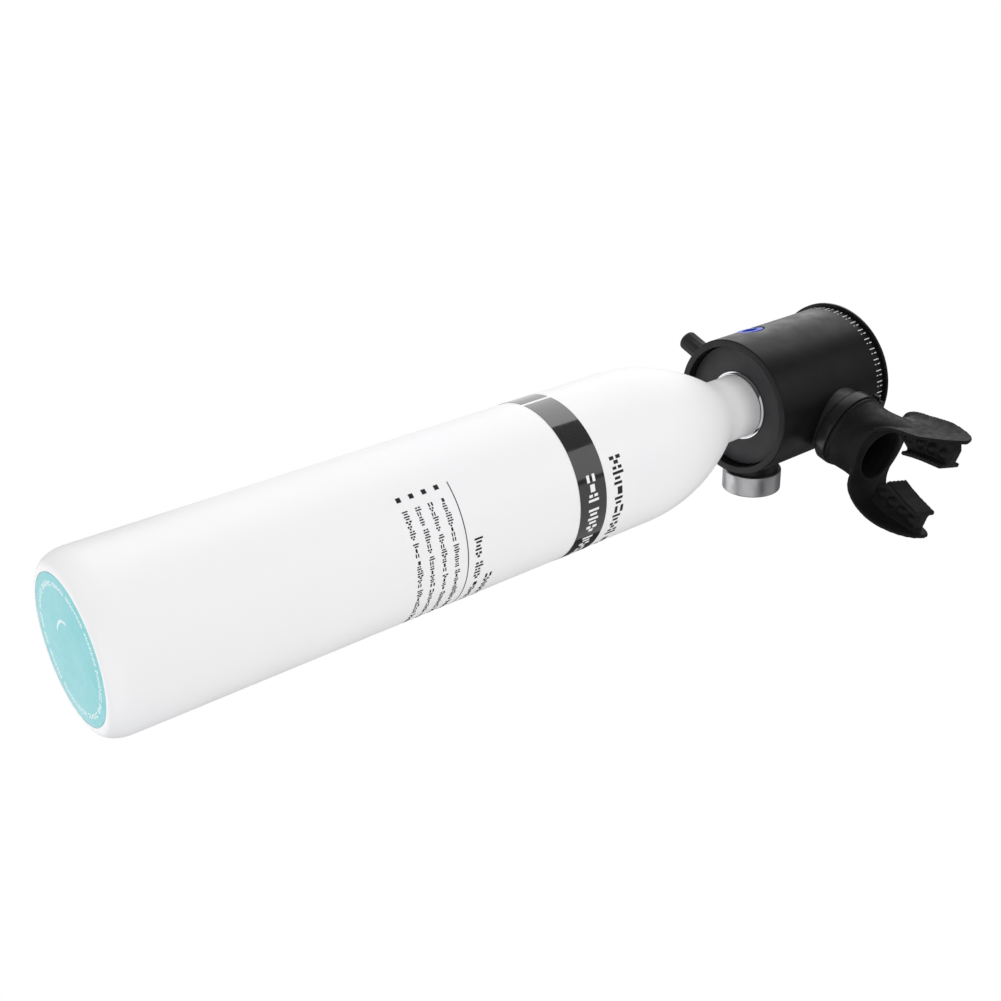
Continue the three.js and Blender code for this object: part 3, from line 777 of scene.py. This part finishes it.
def build_dial_marks():
    """Graduations, a coloured reserve arc and plain numerals on the dial."""
    turn = port_matrix(GAUGE)
    lines = []
    for i in range(31):
        at = DIAL_START - DIAL_SWEEP * i / 30
        length = 1.8 if i % 5 == 0 else 1.0
        lines.append(arc_block(9.8 - length, 9.8, at - 0.9, at + 0.9, *DIAL_PRINT))
    reserve = [arc_block(9.95, 10.4, 90, DIAL_START, *DIAL_PRINT)]
    for name, shapes, ink_name in (("dial_scale", lines, "black_ink"),
                                   ("dial_reserve_arc", reserve, "needle")):
        verts, faces = joined(shapes)
        make_object(name, [turn @ Vector(v) for v in verts], faces, MAT[ink_name],
                    slot="dial_face")
    for i in range(0, 31, 10):
        numeral(str(i // 10), math.radians(DIAL_START - DIAL_SWEEP * i / 30), turn)


def numeral(text, angle, turn):
    """One upright figure inside the dial's scale."""
    curve = bpy.data.curves.new("numeral_" + text, "FONT")
    curve.body = text
    curve.size = 2.4 * MM
    curve.extrude = 0.03 * MM
    curve.align_x = "CENTER"
    curve.align_y = "CENTER"
    obj = bpy.data.objects.new("dial_numeral_" + text, curve)
    bpy.context.scene.collection.objects.link(obj)
    spot = Vector((6.4 * math.cos(angle), 6.4 * math.sin(angle), 34.42))
    upright = turn @ Matrix.Translation(spot) @ Matrix.Rotation(math.pi / 2, 4, "Z")
    obj.matrix_world = in_metres(upright)
    curve.materials.append(MAT["black_ink"])
    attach(obj, "tank")


def build_fill_valve():
    """The ribbed dust cap, and the threaded nipple it sits on."""
    ribs, rib_depth = 14, 0.16
    profile = rounded([
        (3.15, 31), (4.14, 31, 0.25), (4.14, 32.2), (4.14, 32.6), (4.14, 37), (4.14, 42.2),
        (4.14, 44.0, 1.5), (0, 44.1), (0, 42), (3.15, 42)])
    verts, faces = lathe_parts(profile, 168)
    ribbed = []
    # only the straight part of the outer wall is ribbed
    for v in verts:
        r = math.hypot(v[0], v[1])
        if r > 4 and 32.4 < v[2] < 42.3:
            a = math.atan2(v[1], v[0])
            r -= rib_depth * (1 - (0.5 + 0.5 * math.cos(ribs * a)) ** 3)
            v = (r * math.cos(a), r * math.sin(a), v[2])
        ribbed.append(port_matrix(FILL) @ Vector(v))
    cap = make_object("dust_cap_ribbed", ribbed, faces, MAT["black_rubber"], body="dust_cap",
                      slot="black_rubber", sharp=50)
    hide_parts("fill_dust_cap")

    thread = []
    for i in range(12):
        z = 31 + 0.75 * i
        thread += [(2.8, z, 0.1), (2.45, z + 0.38, 0.1)]
    base = [(1.4, 12.2), (4.4, 12.2, 0.3), (4.4, 28.9, 0.3), (3.6, 28.9), (3.6, 30.2, 0.3)]
    tip = [(2.7, 40.2), (2.4, 41.2, 0.2), (1.2, 41.2), (1.2, 27.5), (2.5, 26.5), (2.5, 14),
           (1.4, 14)]
    body = lathe("fill_nipple", rounded(base + thread + tip), MAT["steel"], FITTING, FILL,
                 slot="steel")
    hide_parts("fill_valve_body")


def build_burst_plug():
    """The blue plug, with a hexagon socket 6 mm across its flats."""
    body = lathe("burst_plug", rounded([
        (0.8, 12.6), (4, 12.6, 0.3), (4, 20.4), (5.6, 20.4, 0.3), (5.6, 28.2, 0.6),
        (0.8, 28.2)]), MAT["blue_anodised"], FITTING, BURST, slot="blue_anodised")
    r = 3 / math.cos(math.pi / 6)
    outline = [(r * math.cos(math.pi / 3 * i), r * math.sin(math.pi / 3 * i)) for i in range(6)]
    verts = [(x, y, z) for z in (24.4, 30) for x, y in outline]
    faces = [tuple(range(5, -1, -1)), tuple(range(6, 12))]
    faces += [(i, (i + 1) % 6, 6 + (i + 1) % 6, 6 + i) for i in range(6)]
    cut_away(body, [scratch("socket", verts, faces, port_matrix(BURST))])
    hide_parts("burst_disc_plug")


build_gauge()
build_fill_valve()
build_burst_plug()

# ------------------------------------------------------------------ mouthpiece


def oval_tube(stations, segments=72):
    """A closed skin through oval rings of (z, half width, half height, shift sideways)."""
    verts, faces = [], []
    count = len(stations)
    for z, a, b, shift in stations:
        for i in range(segments):
            t = 2 * math.pi * i / segments
            verts.append((a * math.cos(t) + shift, b * math.sin(t), z))
    for s in range(count):
        n = (s + 1) % count
        for i in range(segments):
            j = (i + 1) % segments
            faces.append((s * segments + i, s * segments + j, n * segments + j, n * segments + i))
    return verts, faces


def blend_stations(stations, steps=5):
    """Smooth in-between stations, Catmull-Rom style."""
    out = []
    for i in range(len(stations) - 1):
        p0 = stations[max(i - 1, 0)]
        p1, p2 = stations[i], stations[i + 1]
        p3 = stations[min(i + 2, len(stations) - 1)]
        for k in range(steps):
            t = k / steps
            out.append(tuple(
                0.5 * (2 * b + (c - a) * t + (2 * a - 5 * b + 4 * c - d) * t ** 2
                       + (3 * b - a - 3 * c + d) * t ** 3)
                for a, b, c, d in zip(p0, p1, p2, p3)))
    return out + [stations[-1]]


# The lip shield in plan, along the middle of its wall from one wing's tip to the other's,
# as (across, outward). The two soft wings are not set quite alike.
PLAN = blend_stations([
    (-23.5, 81.8), (-21.8, 76.6), (-19.7, 69.5), (-17.8, 62.5), (-15.7, 56.6), (-12.4, 52.2),
    (-7, 50.9), (0, 50.8), (7, 51), (12.6, 51.6), (16.2, 53.4), (18.9, 56.8), (20.6, 61.4),
    (21.3, 66.7), (21.2, 72), (20.7, 78), (19.9, 83.4)], 6)
SHIELD_HALF = 10.4               # half the shield's height
ROUNDED_END = 17                 # length of each wing's rounded end
NECK_END = 51                    # how far out the neck meets the middle of the shield
PITCH = 0.2                      # the upper edge stands further out than the lower one
TWIST = 2.2                      # how far one wing's edges are turned against each other
ROOT_FLARE = 1.7                 # how much further its upper edge folds outward by the neck


def plan_lengths():
    out = [0.0]
    for (x0, z0), (x1, z1) in zip(PLAN, PLAN[1:]):
        out.append(out[-1] + math.hypot(x1 - x0, z1 - z0))
    return out


LENGTHS = plan_lengths()


def shield_back(x):
    """Distance out to the middle of the shield's wall, at a place across its back."""
    for (x0, z0), (x1, z1) in zip(PLAN, PLAN[1:]):
        if x0 <= x <= x1:
            return z0 + (z1 - z0) * (x - x0) / max(x1 - x0, 1e-6)
    return PLAN[-1][1]


def wing_at(side, z):
    """Distance across to the middle of a wing's wall, at a distance out."""
    wing = [p for p in PLAN if p[0] * side > 9]
    return abs(min(wing, key=lambda p: abs(p[1] - z))[0])


def shield_point(i, across, side):
    """A point on the lip shield: station along the U, across its height, side of its wall."""
    before, after = PLAN[max(i - 1, 0)], PLAN[min(i + 1, len(PLAN) - 1)]
    outward = Vector((after[1] - before[1], 0, before[0] - after[0])).normalized()
    x, z = PLAN[i]
    over = max(0.0, 1 - min(LENGTHS[i], LENGTHS[-1] - LENGTHS[i]) / ROUNDED_END)
    half = SHIELD_HALF * math.sqrt(max(1 - over ** 2.1, 0.004))
    roll = 1.1 * abs(across) ** 3 * (1 - 0.5 * over)
    roll += TWIST * across * share((-x - 8) / 4.5) * share((82 - z) / 14)
    corner = share((-x - 3) / 6) * share((58 - z) / 5)
    roll += ROOT_FLARE * max(across, 0) ** 1.5 * corner
    wall = 0.8 + 0.8 * across ** 8 * (1 - 0.6 * over)
    return Vector((x, across * half, z)) + outward * (roll + side * wall)


def lean(point):
    """Pitches everything beyond the neck, a little at first and then fully."""
    x, y, z = point
    return (x, y, z + PITCH * y * share((z - 42) / 9))


def shield_solid():
    """The lip shield: rounded sections across it, one at each station along the U."""
    ring = 44
    count = len(PLAN)
    verts, faces = [], []
    for i in range(count):
        for k in range(ring):
            b = 2 * math.pi * k / ring
            across = math.copysign(abs(math.cos(b)) ** 0.8, math.cos(b))
            side = math.copysign(abs(math.sin(b)) ** 0.5, math.sin(b))
            verts.append(tuple(shield_point(i, across, side)))
    for i in range(count - 1):
        for k in range(ring):
            m = (k + 1) % ring
            faces.append((i * ring + k, i * ring + m, (i + 1) * ring + m, (i + 1) * ring + k))
    faces += [tuple(range(ring - 1, -1, -1)), tuple(range((count - 1) * ring, count * ring))]
    return verts, faces


def slab(outline, low, high):
    """A plate from a plan outline of (x, z) points between two local heights."""
    n = len(outline)
    verts = [(x, y, z) for y in (low, high) for x, z in outline]
    faces = [tuple(range(n)), tuple(range(2 * n - 1, n - 1, -1))]
    faces += [(i, n + i, n + (i + 1) % n, (i + 1) % n) for i in range(n)]
    return verts, faces


def tab_solids(side):
    """A bite tab: a pad out to the wing, a curved upright wall, and a row of studs."""
    edge = [(wing_at(side, z), z) for z in (58, 62, 66, 70, 74, 78)]
    pad = [(7.8, 63.5), (11.5, 57.2)] + edge + [(18.6, 80.2), (11.4, 80.0)]
    curve = [(6.2, 62.8), (7.7, 67), (8.9, 71.5), (9.8, 76), (10.6, 80)]
    wall = curve + [(x + 1.9, z - 0.2) for x, z in reversed(curve)]
    solids = [slab([(side * x, z) for x, z in pad], -2.3, 2.3),
              slab([(side * x, z) for x, z in wall], -5.2, 5.2)]
    for k in range(4):
        for face in (-1, 1):
            centre = Vector((side * (13.4 + 0.7 * k), face * 1.45, 61.5 + 5.2 * k))
            solids.append(dome(centre, 2.35))
    return solids


def dome(centre, radius, segments=20):
    """A ball, sunk into a bite pad so that its top stands out as a stud."""
    profile = [(radius * math.sin(math.pi * i / 10), -radius * math.cos(math.pi * i / 10))
               for i in range(11)]
    profile[0], profile[-1] = (0, -radius), (0, radius)
    verts, faces = lathe_parts(profile, segments)
    return [Vector(v) + centre for v in verts], faces


def follow_shield(point):
    """Bends the end of the neck so that it meets the curved back of the shield."""
    x, y, z = point
    reach = share((z - 43) / 8)
    return (x, y, z + reach * (shield_back(x) - NECK_END))


def build_mouthpiece():
    """Sleeve, neck, shield and tabs, made one skin by a fine remesh and relaxed a little."""
    outer = blend_stations([
        (29.9, 15.25, 15.25, 0), (34, 15.25, 15.25, 0), (38, 15.2, 15.15, 0), (41, 15.0, 14.8, 0),
        (44, 15.1, 14.1, -0.1), (47, 15.8, 13.3, -0.4), (NECK_END, 17.3, 11.6, -1.1)])
    inner = blend_stations([(51.8, 11.4, 8.3, 1.6), (48, 10.7, 8.1, 1.4), (44, 10.9, 9.4, 0.5),
                            (38.6, 11.4, 11.4, 0)])
    sleeve = [(38.3, 14.1, 14.1, 0), (29.9, 14.1, 14.1, 0)]
    verts, faces = oval_tube(outer + inner + sleeve)
    soft = scratch("silicone_mouthpiece", [follow_shield(v) for v in verts], faces)
    shield = scratch("shield", *shield_solid())
    cut_away(shield, [plug(1, 38, 66, Matrix.Translation((1.6, 0, 0)), 96, (10.9, 7.9))])
    rims = [scratch("bead", *lathe_parts([(15.2, low), (15.8, low + 0.3), (15.8, high - 0.3),
                                          (15.2, high)], 72))
            for low, high in ((29.9, 30.6), (35.8, 37.2))]
    tabs = [scratch("tab", *solid) for side in (-1, 1) for solid in tab_solids(side)]
    merge_meshes(soft, [shield, *rims, *tabs])

    for vertex in soft.data.vertices:
        vertex.co = Vector(lean(vertex.co / MM)) * MM
    remesh = soft.modifiers.new("skin", "REMESH")
    remesh.mode = "VOXEL"
    remesh.voxel_size = 0.42 * MM
    relax = soft.modifiers.new("relax", "SMOOTH")
    relax.factor = 0.5
    relax.iterations = 7
    bake_modifiers(soft)
    soft.data.transform(in_metres(mouth_matrix()))
    dress(soft, MAT["silicone"], slot="silicone", sharp=180)
    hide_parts("mouthpiece")


def build_port():
    """The stub the mouthpiece is tied on, with a collar that follows the barrel."""
    port = lathe("mouthpiece_stub", rounded([
        (11.3, 23.6), (13.8, 23.6), (13.8, 38, 0.4), (11.3, 38, 0.4)]), MAT["black_plastic"],
        FITTING, MOUTH, slot="black_plastic")
    ring = [(13, 18), (14.2, 18), (14.2, 29.6), (13, 29.6)]
    collar = scratch("collar", *lathe_parts(ring, FITTING))
    collar.data.transform(in_metres(port_matrix(MOUTH)))
    barrel = plug(BARREL_R + 0.02, MOUTH[1] - 25, MOUTH[1] + 25, Matrix.Identity(4), 192)
    cut_away(collar, [barrel])
    merge_meshes(port, [collar])
    soften(port, 32)
    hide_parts("mouthpiece_port")


def build_exhaust():
    """A round cap with four slots in front of the exhaust valve."""
    cover = lathe("exhaust_cap", rounded([
        (8.4, 29), (9.8, 29), (9.8, 33.1, 0.2), (9.2, 33.7, 0.3), (0, 33.7), (0, 32.7),
        (8.4, 32.7)]), MAT["black_plastic"], FITTING, EXHAUST, slot="black_plastic")
    slots = []
    for across, reach in ((-4.5, 6), (-1.5, 7.2), (1.5, 7.2), (4.5, 6)):
        slots.append(box_solid((across - 0.7, -reach, 32), (across + 0.7, reach, 35),
                               port_matrix(EXHAUST)))
    cut_away(cover, slots)
    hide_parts("exhaust_cover")


def build_tie():
    """A cable tie: strap, head and the cut end of its tail."""
    strap = scratch("tie_strap", *lathe_parts(rounded([
        (15.35, 30.8), (16.1, 30.8, 0.3), (16.1, 35.4, 0.3), (15.35, 35.4)]), 128))
    head = box_solid((15.5, -2.8, 30.3), (19.0, 2.8, 35.7))
    tail = box_solid((16.4, 2.2, 31.3), (17.8, 6.0, 34.7))
    for block in (head, tail):
        bevel = block.modifiers.new("edge", "BEVEL")
        bevel.width = 0.5 * MM
        bevel.segments = 3
        bake_modifiers(block)
    merge_meshes(strap, [head, tail])
    head_at = 118
    turn = mouth_matrix() @ Matrix.Rotation(math.radians(head_at), 4, "Z")
    strap.data.transform(in_metres(turn))
    dress(strap, MAT["cable_tie"], slot="cable_tie")
    strap.name = "mouthpiece_strap"
    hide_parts("mouthpiece_tie")


build_mouthpiece()
build_port()
build_exhaust()
build_tie()

# ------------------------------------------------------------------ coil springs


def build_spring(name, node, wire_r, turns):
    """A coil that lies flat for part of a turn at each end, as long as the CAD spring it replaces.
    """
    flat = 0.6
    low, high = span(node, 2)
    radius = span(node, 0)[1] - wire_r
    sides = 14
    steps = int(turns * 48)
    verts, faces = [], []
    for i in range(steps + 1):
        turned = turns * i / steps
        rise = share((turned - flat) / (turns - 2 * flat))
        z = low + wire_r + (high - low - 2 * wire_r) * rise
        a = 2 * math.pi * turned
        for k in range(sides):
            b = 2 * math.pi * k / sides
            r = radius + wire_r * math.cos(b)
            verts.append((r * math.cos(a), r * math.sin(a), z + wire_r * math.sin(b)))
    for i in range(steps):
        for k in range(sides):
            m = (k + 1) % sides
            faces.append((i * sides + k, i * sides + m, (i + 1) * sides + m, (i + 1) * sides + k))
    faces += [tuple(range(sides - 1, -1, -1)), tuple(range(steps * sides, (steps + 1) * sides))]
    spring = make_object(name, verts, faces, MAT["steel"], slot="steel")
    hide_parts(node)
    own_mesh(spring)


build_spring("purge_return_coil", "purge_spring", wire_r=0.5, turns=2.4)
build_spring("piston_return_coil", "piston_spring", wire_r=0.45, turns=4.5)

# ------------------------------------------------------------------ remaining CAD nodes

for part in frame["record"]["subparts"]:
    solid = nodes[part["node"]]
    solid.data.materials.clear()
    solid.data.materials.append(MAT[part["material_slot"]])
    soften(solid, 35)

# ------------------------------------------------------------------ stage, light and camera


def build_floor():
    """A pale floor below the camera, which looks up at the base; kept out of reflections."""
    bpy.ops.mesh.primitive_plane_add(size=12, location=(0, 0, FLOOR_AT))
    floor = bpy.context.object
    floor.name = "pale_floor"
    look = Look("pale_floor", (0.93, 0.93, 0.93), 0.8)
    look.vary_roughness(look.noise(60, 3), 0.75, 0.85)
    floor.data.materials.append(look.material)
    floor.visible_glossy = False
    floor.visible_shadow = False


def build_world():
    """White to the eye; matt surfaces get an even fill, a little brighter from the key side."""
    world = bpy.data.worlds.new("studio")
    bpy.context.scene.world = world
    world.use_nodes = True
    tree = world.node_tree
    tree.nodes.clear()
    link = tree.links.new
    out = tree.nodes.new("ShaderNodeOutputWorld")
    path = tree.nodes.new("ShaderNodeLightPath")
    place = tree.nodes.new("ShaderNodeTexCoord")
    toward = tree.nodes.new("ShaderNodeVectorMath")
    toward.operation = "DOT_PRODUCT"
    toward.inputs[1].default_value = CAMERA_UP
    link(place.outputs["Generated"], toward.inputs[0])
    grounds = {}
    for name, low, high in (("fill", 0.93, 1.12), ("gloss", 0.02, 0.16), ("seen", 1, 1)):
        spread = tree.nodes.new("ShaderNodeMapRange")
        spread.inputs["From Min"].default_value = -1
        spread.inputs["To Min"].default_value = low
        spread.inputs["To Max"].default_value = high
        link(toward.outputs["Value"], spread.inputs["Value"])
        grounds[name] = tree.nodes.new("ShaderNodeBackground")
        grounds[name].inputs["Color"].default_value = (1, 1, 1, 1)
        link(spread.outputs["Result"], grounds[name].inputs["Strength"])
    glossy = tree.nodes.new("ShaderNodeMixShader")
    seen = tree.nodes.new("ShaderNodeMixShader")
    link(path.outputs["Is Glossy Ray"], glossy.inputs[0])
    link(grounds["fill"].outputs[0], glossy.inputs[1])
    link(grounds["gloss"].outputs[0], glossy.inputs[2])
    link(path.outputs["Is Camera Ray"], seen.inputs[0])
    link(glossy.outputs[0], seen.inputs[1])
    link(grounds["seen"].outputs[0], seen.inputs[2])
    link(seen.outputs[0], out.inputs["Surface"])


def softbox(name, azimuth, elevation, size, brightness, distance=0.9):
    """A softbox seen only as a reflection, aimed at the upper part of the tank."""
    a, e = math.radians(azimuth), math.radians(elevation)
    direction = Vector((math.cos(a) * math.cos(e), math.sin(a) * math.cos(e), math.sin(e)))
    light = bpy.data.lights.new(name, "AREA")
    light.shape = "RECTANGLE"
    light.size, light.size_y = size
    light.energy = 4 * brightness * size[0] * size[1]
    obj = bpy.data.objects.new(name, light)
    obj.location = LIGHTS_AIM + direction * distance
    obj.rotation_euler = direction.to_track_quat("Z", "Y").to_euler()
    obj.visible_camera = False
    obj.visible_diffuse = False
    bpy.context.scene.collection.objects.link(obj)


def build_camera():
    """Set from its place and the directions to the right and up in its view."""
    camera = bpy.data.objects.new("camera", bpy.data.cameras.new("camera"))
    camera.data.lens = CAMERA_LENS
    camera.data.sensor_width = 36
    camera.data.clip_start = 0.01
    back = CAMERA_RIGHT.cross(CAMERA_UP)
    camera.matrix_world = Matrix((
        (CAMERA_RIGHT.x, CAMERA_UP.x, back.x, CAMERA_AT.x),
        (CAMERA_RIGHT.y, CAMERA_UP.y, back.y, CAMERA_AT.y),
        (CAMERA_RIGHT.z, CAMERA_UP.z, back.z, CAMERA_AT.z),
        (0, 0, 0, 1)))
    bpy.context.scene.collection.objects.link(camera)
    bpy.context.scene.camera = camera


build_floor()
build_world()
# Each softbox: azimuth, elevation, width and height in metres, brightness.
softbox("key_softbox", 128.5, 33, (0.98, 1.2), 0.85)
softbox("rim_softbox", 73, 33, (0.88, 0.8), 0.58)
softbox("side_softbox", 225, 33, (0.56, 0.7), 0.4)
softbox("front_softbox", 296, 33, (1.3, 0.7), 0.22)
softbox("low_softbox", 283, -52, (1.5, 1.1), 0.52)
softbox("under_softbox", 43, -33, (0.7, 0.7), 0.9)
build_camera()
bpy.context.scene.view_settings.view_transform = "Standard"
